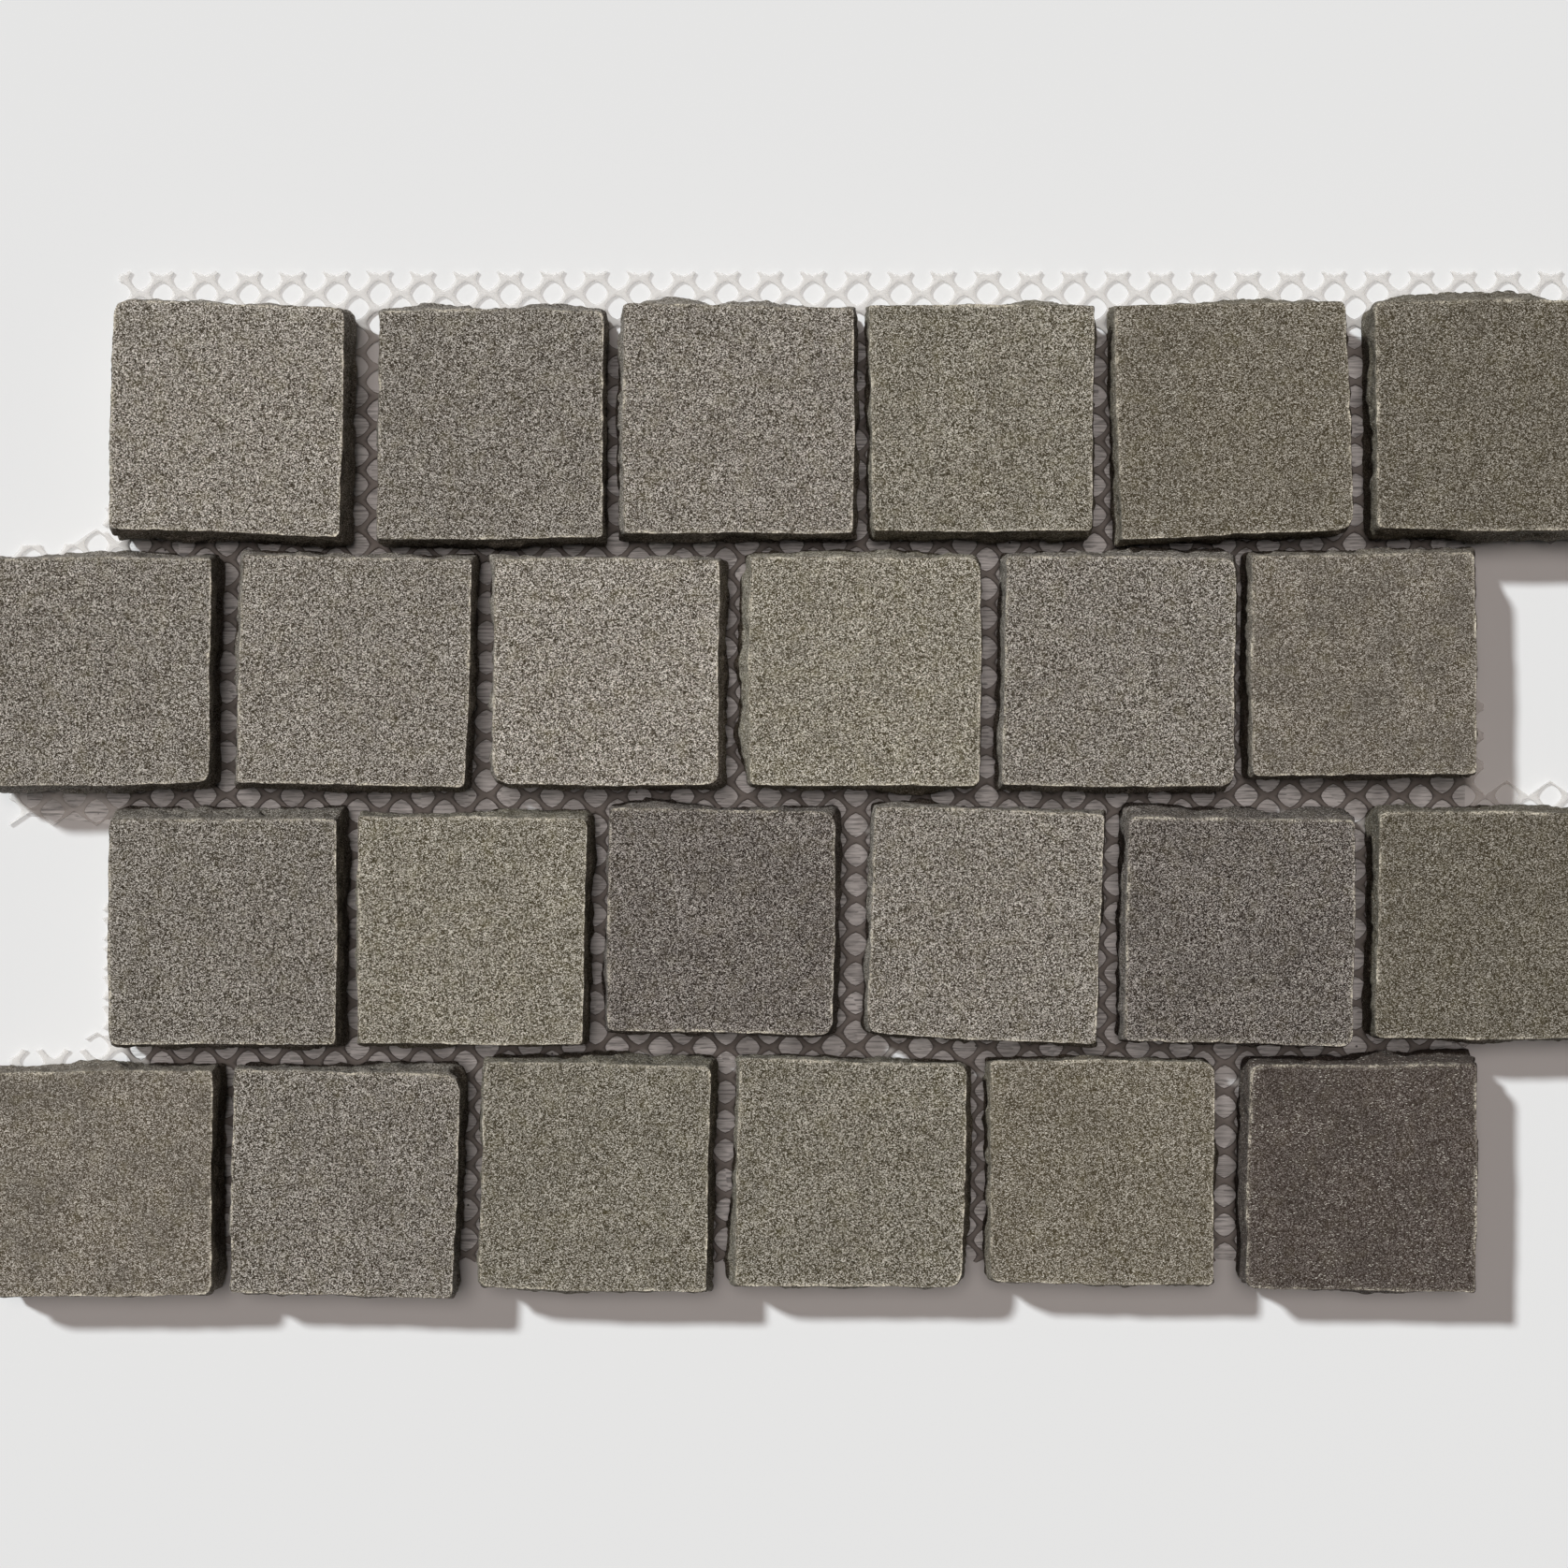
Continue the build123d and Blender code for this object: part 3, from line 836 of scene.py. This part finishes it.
plastic = net_plastic()
for course in range(1, 5):
    strip = net_strip(course)
    strip.data.materials.append(plastic)
    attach(strip, "root")
    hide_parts(f"net_course_{course}_left", f"net_course_{course}_right")

film = film_sheet()
film.data.materials.append(brushed_glue())
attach(film, "root")
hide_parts("glue_film")


# Floor, light and camera

FLOOR_DROP = 0.3 * MM
FLOOR_REACH = 8.0
WORLD_GLOW = 0.03
HALF_VIEW = 0.3098  # half the width that the picture shows at the tops of the stones
VIEW_DROP = 1.1685  # from the camera down to the tops
CAMERA_PLACE = (-0.0037, 0.0059, 1.2)

corner = FLOOR_REACH * np.array([[-1, -1, 0], [1, -1, 0], [1, 1, 0], [-1, 1, 0]]) - (0, 0, FLOOR_DROP)
floor = put_mesh("floor", corner, [[0, 1, 2, 3]])
paper = Finish("pale_floor")
paper.set(Base_Color=(0.8, 0.8, 0.8), Roughness=0.9)
floor.data.materials.append(paper.material)

world = bpy.data.worlds.new("studio")
world.use_nodes = True
world.node_tree.nodes["Background"].inputs["Color"].default_value = (1.0, 1.0, 1.0, 1.0)
world.node_tree.nodes["Background"].inputs["Strength"].default_value = WORLD_GLOW
bpy.context.scene.world = world


def sun(name, strength, colour, spread, towards):
    """A soft lamp of the given spread in degrees, shining along a direction."""
    lamp = bpy.data.lights.new(name, "SUN")
    lamp.energy = strength
    lamp.color = colour
    lamp.angle = math.radians(spread)
    holder = bpy.data.objects.new(name, lamp)
    holder.rotation_euler = Vector(towards).to_track_quat("-Z", "Y").to_euler()
    bpy.context.scene.collection.objects.link(holder)


sun("key", 3.0, (0.933, 0.983, 1.0), 5.0, (23.7, -19.0, -31.5))
sun("overhead_fill", 0.97, (1.0, 0.88, 0.826), 26.0, (0.08, -0.14, -1.0))

lens = bpy.data.cameras.new("camera")
lens.sensor_width = 36.0
lens.angle = 2 * math.atan(HALF_VIEW / VIEW_DROP)
camera = bpy.data.objects.new("camera", lens)
camera.location = CAMERA_PLACE
bpy.context.scene.collection.objects.link(camera)
bpy.context.scene.camera = camera
bpy.context.scene.view_settings.view_transform = "Standard"
